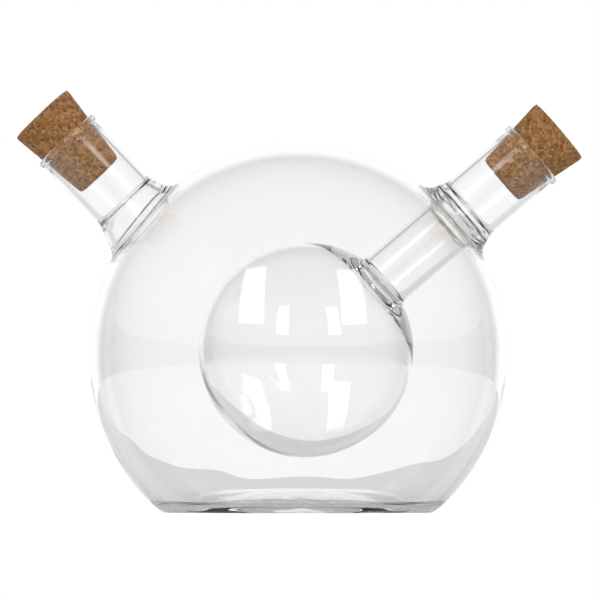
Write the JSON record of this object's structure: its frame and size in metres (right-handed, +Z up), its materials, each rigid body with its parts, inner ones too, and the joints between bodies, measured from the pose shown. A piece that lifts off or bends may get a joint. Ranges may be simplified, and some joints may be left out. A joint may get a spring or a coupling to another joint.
{
  "type": "oil and vinegar cruet",
  "caption": "Glass table cruet with a bulb inside a flat-based globe, each with a slanted neck closed by a tapered cork stopper.",
  "frame": {"origin": "centre of the flat base, on the table", "axes": "+Z up, +X towards the neck that serves the inner bulb, so both necks lie in the XZ plane"},
  "size_m": [0.1691, 0.125, 0.1264],
  "materials": {
    "clear_glass": "clear blown glass, fire polished",
    "pressed_cork": "pressed cork granules, matt"
  },
  "bodies": {
    "glass": {"outer_globe": "clear_glass", "inner_bulb": "clear_glass", "left_neck_tube": "clear_glass", "right_neck_tube": "clear_glass"},
    "left_cork": {"left_stopper": "pressed_cork"},
    "right_cork": {"right_stopper": "pressed_cork"}
  },
  "joints": [
    {"name": "left_stopper_pull", "type": "slide", "parent": "glass", "child": "left_cork", "axis": [-0.6884, 0, 0.7254], "range_m": [0, 0.04]},
    {"name": "right_stopper_pull", "type": "slide", "parent": "glass", "child": "right_cork", "axis": [0.7604, 0, 0.6494], "range_m": [0, 0.04]}
  ]
}
